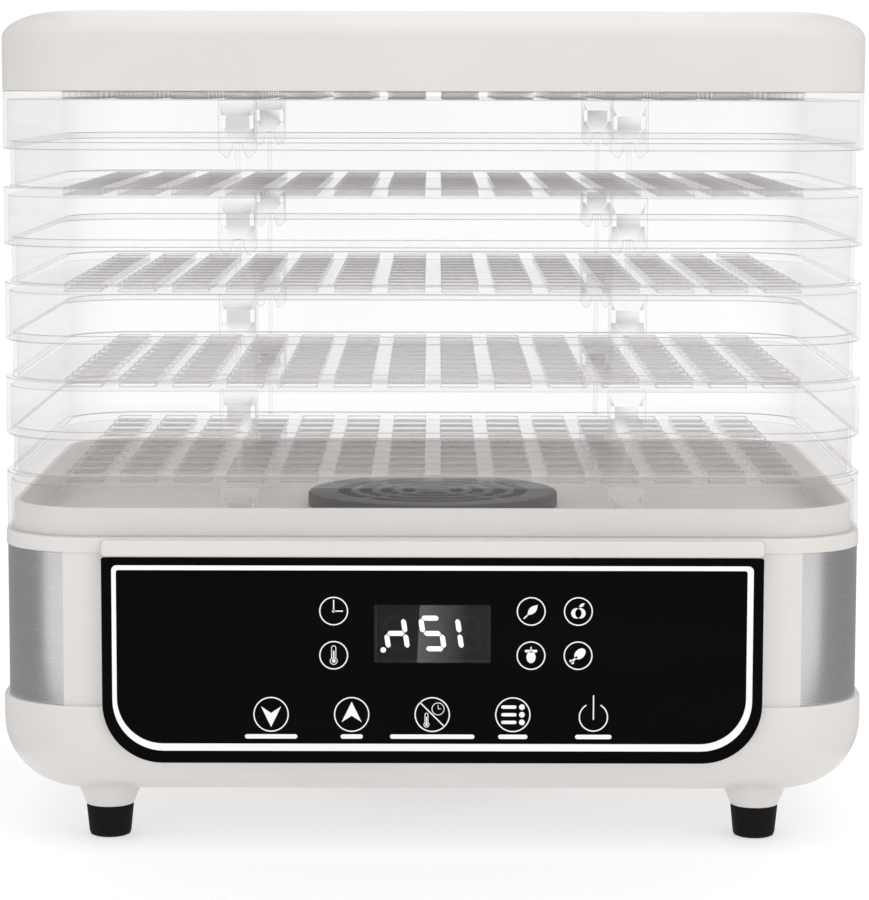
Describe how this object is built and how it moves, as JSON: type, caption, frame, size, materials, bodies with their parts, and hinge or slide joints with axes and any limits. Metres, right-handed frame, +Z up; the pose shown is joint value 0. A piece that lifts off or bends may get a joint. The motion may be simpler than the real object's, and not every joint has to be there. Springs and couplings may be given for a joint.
{
  "type": "food dehydrator",
  "caption": "Countertop food dehydrator: clear stacking trays on a white fan-heated base with a black touch panel, steel side strips and a white lid.",
  "frame": {"origin": "centre of the footprint on the surface it stands on", "axes": "+Z up, the control panel faces -Y, +X to the right as the panel is faced"},
  "size_m": [0.335, 0.261, 0.321],
  "materials": {
    "white_plastic": "warm white moulded plastic, satin gloss",
    "clear_plastic": "clear colourless moulded plastic",
    "steel_strip": "brushed along its length",
    "panel": "black gloss",
    "window": "smoked clear plastic",
    "digit_face": "dark grey with pale segments",
    "rubber": "matt black",
    "black_plastic": "matt black moulded plastic",
    "circuit_board": "green solder mask",
    "bare_steel": "zinc plated sheet and bar",
    "heating_wire": "dull drawn wire",
    "mica": "layered mica sheet",
    "lamp": "clear domed lamps",
    "screws": "zinc plated"
  },
  "bodies": {
    "base": {"air_duct": "bare_steel", "base_housing": "white_plastic", "bracket_screws": "screws", "control_board": "circuit_board", "control_board_screws": "screws", "control_panel": "panel", "cord_gland": "black_plastic", "deck": "white_plastic", "display_window": "window", "duct_screws": "screws", "fan_guard": "black_plastic", "fan_motor": "bare_steel", "fascia": "white_plastic", "foot_front_left": "rubber", "foot_front_right": "rubber", "foot_rear_left": "rubber", "foot_rear_right": "rubber", "guard_screws": "screws", "heater_coil": "heating_wire", "heater_frame": "mica", "housing_screws": "screws", "indicator_leds": "lamp", "intake_grille": "white_plastic", "led_display": "digit_face", "motor_bracket": "bare_steel", "motor_cap": "black_plastic", "power_board": "circuit_board", "power_board_screws": "screws", "power_capacitor": "black_plastic", "power_relay": "black_plastic", "steel_strip_left": "steel_strip", "steel_strip_right": "steel_strip", "terminal_block": "white_plastic", "thermal_fuse": "bare_steel", "thermistor": "black_plastic", "touch_springs": "bare_steel", "transformer": "black_plastic"},
    "fan": {"fan_impeller": "black_plastic", "fan_shaft": "bare_steel"},
    "tray_1": {"tray_1": "clear_plastic"},
    "tray_2": {"tray_2": "clear_plastic"},
    "tray_3": {"tray_3": "clear_plastic"},
    "tray_4": {"tray_4": "clear_plastic"},
    "tray_5": {"tray_5": "clear_plastic"},
    "lid": {"lid": "white_plastic"}
  },
  "joints": [
    {"name": "fan_spin", "type": "hinge", "parent": "base", "child": "fan", "pos_m": [0, 0, 0.067], "axis": [0, 0, 1], "continuous": true},
    {"name": "lift_tray_5", "type": "slide", "parent": "base", "child": "tray_5", "axis": [0, 0, 1], "range_m": [0, 0.06]},
    {"name": "lift_tray_4", "type": "slide", "parent": "tray_5", "child": "tray_4", "axis": [0, 0, 1], "range_m": [0, 0.06]},
    {"name": "lift_tray_3", "type": "slide", "parent": "tray_4", "child": "tray_3", "axis": [0, 0, 1], "range_m": [0, 0.06]},
    {"name": "lift_tray_2", "type": "slide", "parent": "tray_3", "child": "tray_2", "axis": [0, 0, 1], "range_m": [0, 0.06]},
    {"name": "lift_tray_1", "type": "slide", "parent": "tray_2", "child": "tray_1", "axis": [0, 0, 1], "range_m": [0, 0.06]},
    {"name": "lift_lid", "type": "slide", "parent": "tray_1", "child": "lid", "axis": [0, 0, 1], "range_m": [0, 0.08]}
  ]
}
